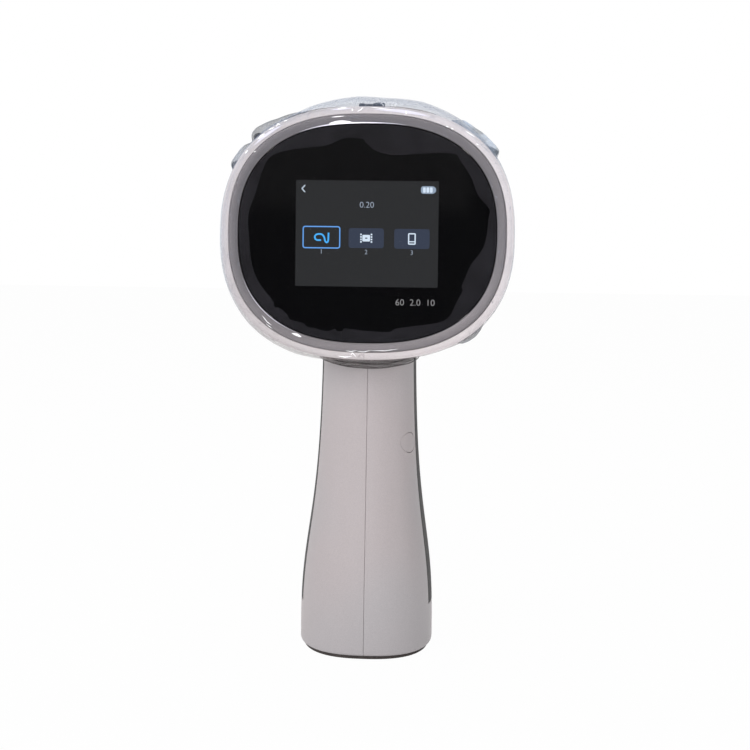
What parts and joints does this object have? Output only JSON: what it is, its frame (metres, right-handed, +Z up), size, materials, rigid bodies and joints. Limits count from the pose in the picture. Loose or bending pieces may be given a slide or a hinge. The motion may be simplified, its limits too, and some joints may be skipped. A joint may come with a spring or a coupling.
{
  "type": "handheld dental x-ray unit",
  "caption": "Handheld dental x-ray unit: round head with a screen behind and a cone in front, on a flared battery handle with a sprung exposure trigger.",
  "frame": {"origin": "on the floor, at the middle of the flat rubber pad under the handle", "axes": "+X to the right when facing the screen, +Y along the beam out of the cone, +Z up the handle"},
  "size_m": [0.141, 0.2545, 0.2636],
  "materials": {
    "painted_shell": "satin warm light grey moulded shell",
    "dark_grip": "soft dark grey skin",
    "foot_rubber": "matt dark brown-grey pad",
    "dark_plastic": "fine-grained dark plastic",
    "bezel_metal": "satin grey anodised ring",
    "display_glass": "black printed cover glass, polished",
    "clear_film": "clear crinkled packaging film",
    "lcd": "black screen panel",
    "circuit_board": "green solder mask",
    "steel": "zinc-plated steel",
    "contact_brass": "gold-plated brass",
    "tank_metal": "plain cast aluminium",
    "seal_rubber": "black flat seal",
    "lead": "dull grey lead sheet",
    "tube_glass": "clear tube glass",
    "copper": "bright copper",
    "ferrite": "dark sintered ferrite",
    "white_plastic": "natural white plastic",
    "cell_wrap": "blue shrink wrap over a metal can"
  },
  "bodies": {
    "unit": {"aluminium_filter": "tank_metal", "base_pad": "foot_rubber", "base_plate": "dark_plastic", "base_screw_left": "steel", "base_screw_right": "steel", "battery_cell_1": "cell_wrap", "battery_cell_2": "cell_wrap", "battery_cell_3": "cell_wrap", "battery_cell_4": "cell_wrap", "buzzer": "dark_plastic", "charge_contact_left": "contact_brass", "charge_contact_right": "contact_brass", "collimator_plate": "lead", "cone": "painted_shell", "cone_lining": "lead", "display_board": "circuit_board", "display_film": "clear_film", "display_frame": "dark_plastic", "display_glass": "display_glass", "display_screw_1": "steel", "display_screw_2": "steel", "display_screw_3": "steel", "display_screw_4": "steel", "front_grip": "dark_grip", "front_ring": "bezel_metal", "handle_screw": "steel", "lcd_panel": "lcd", "lead_shield": "lead", "left_housing": "painted_shell", "lower_cell_holder": "white_plastic", "main_board": "circuit_board", "multiplier_board": "circuit_board", "power_board": "circuit_board", "power_switch": "dark_plastic", "protection_board": "circuit_board", "rear_bezel": "bezel_metal", "right_housing": "painted_shell", "screw_plug": "painted_shell", "tank_body": "tank_metal", "tank_lid": "tank_metal", "tank_screw_1": "steel", "tank_screw_2": "steel", "tank_screw_3": "steel", "tank_screw_4": "steel", "tank_seal": "seal_rubber", "transformer_core": "ferrite", "transformer_winding": "copper", "trigger_board": "circuit_board", "trigger_pin": "steel", "trigger_switch": "dark_plastic", "tube_anode": "copper", "tube_cathode": "steel", "tube_envelope": "tube_glass", "upper_cell_holder": "white_plastic", "wrapping_film": "clear_film"},
    "trigger": {"trigger": "dark_plastic", "trigger_spring": "steel"},
    "switch_plunger": {"switch_plunger": "white_plastic"},
    "power_button": {"power_button": "dark_plastic"}
  },
  "joints": [
    {"name": "trigger_pull", "type": "hinge", "parent": "unit", "child": "trigger", "pos_m": [0, 0.0175, 0.1366], "axis": [-1, 0, 0], "range_deg": [0, 6.5], "stiffness_Nm_per_rad": 0.5},
    {"name": "plunger_press", "type": "slide", "parent": "unit", "child": "switch_plunger", "axis": [0, -1, 0], "range_m": [0, 0.0008]},
    {"name": "power_press", "type": "slide", "parent": "unit", "child": "power_button", "axis": [0, 0, -1], "range_m": [0, 0.0008], "stiffness_N_per_m": 800}
  ],
  "couplings": [
    {"joint": "plunger_press", "follows": "trigger_pull", "m_per_rad": 0.00696}
  ]
}
